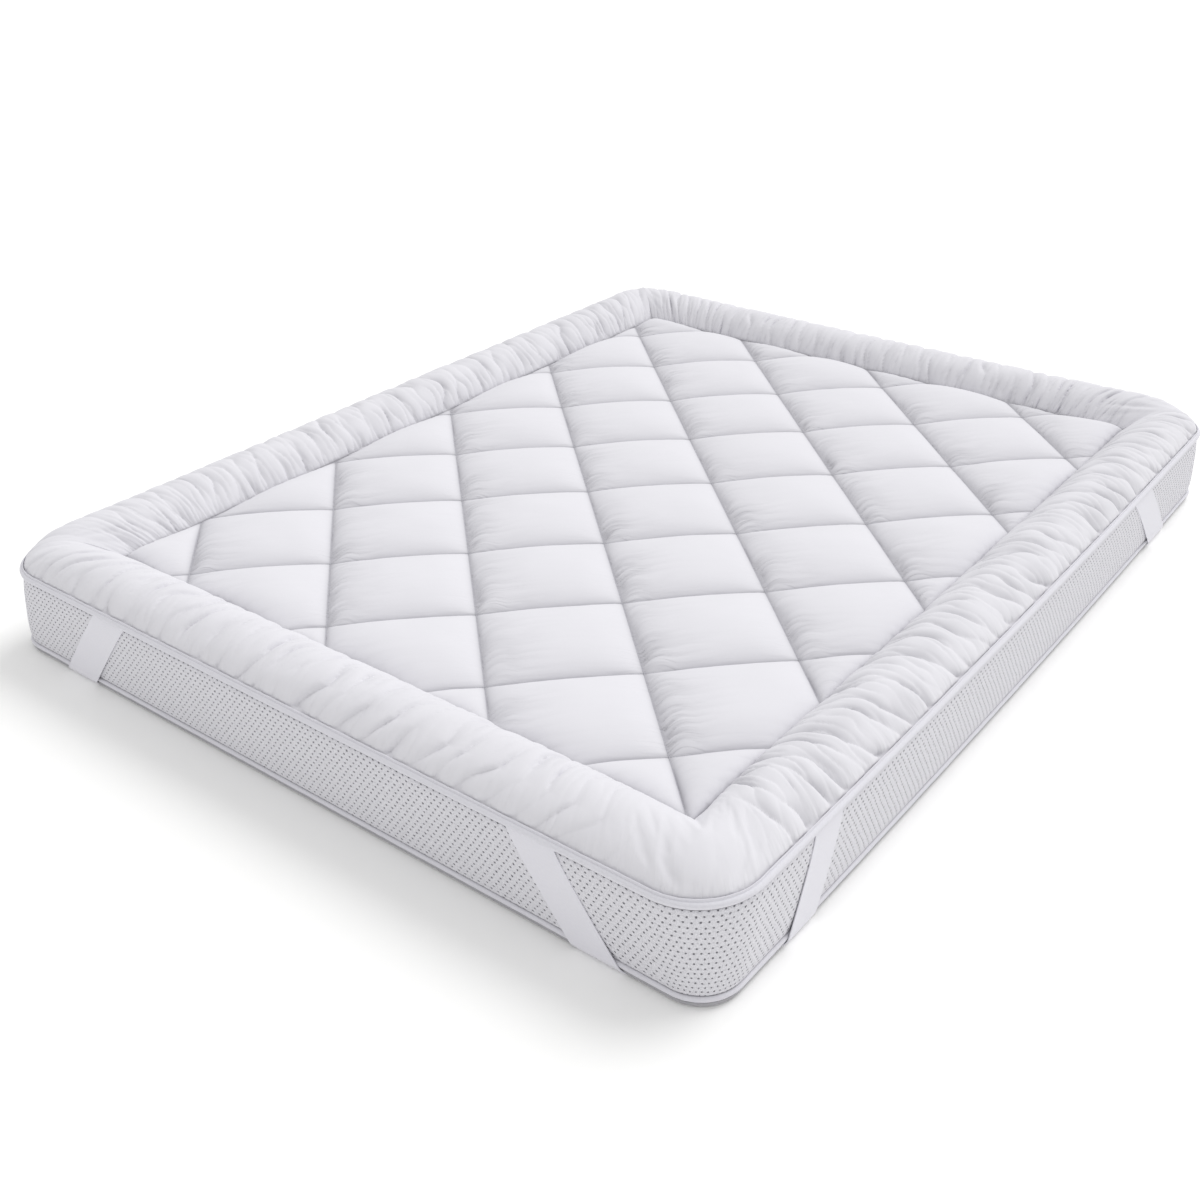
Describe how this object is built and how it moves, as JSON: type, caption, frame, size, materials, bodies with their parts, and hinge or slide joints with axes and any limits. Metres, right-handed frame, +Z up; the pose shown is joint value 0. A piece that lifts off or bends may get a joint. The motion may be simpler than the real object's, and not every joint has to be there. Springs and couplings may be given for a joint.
{
  "type": "mattress topper on a mattress",
  "caption": "Quilted mattress topper with a diamond-stitched panel and a stuffed gathered border, held on a mesh-sided mattress by elastic corner straps.",
  "frame": {"origin": "middle of the mattress's flat base, on the surface that it rests on", "axes": "+X across the bed to its right side, +Y along the bed to its back end, +Z up"},
  "size_m": [1.599, 1.9994, 0.22],
  "materials": {
    "percale": "matte, closely woven microfibre percale",
    "piping": "satin bias tape over a cord",
    "elastic": "flat woven elastic, smooth",
    "mesh_knit": "spacer mesh knit with small staggered holes"
  },
  "bodies": {
    "root": {"quilted_panel": "percale", "border_front": "percale", "border_right": "percale", "border_back": "percale", "border_left": "percale", "top_piping": "piping", "strap_front_right": "elastic", "strap_front_left": "elastic", "strap_back_right": "elastic", "strap_back_left": "elastic", "mattress_body": "mesh_knit", "base_piping": "piping"}
  },
  "joints": []
}
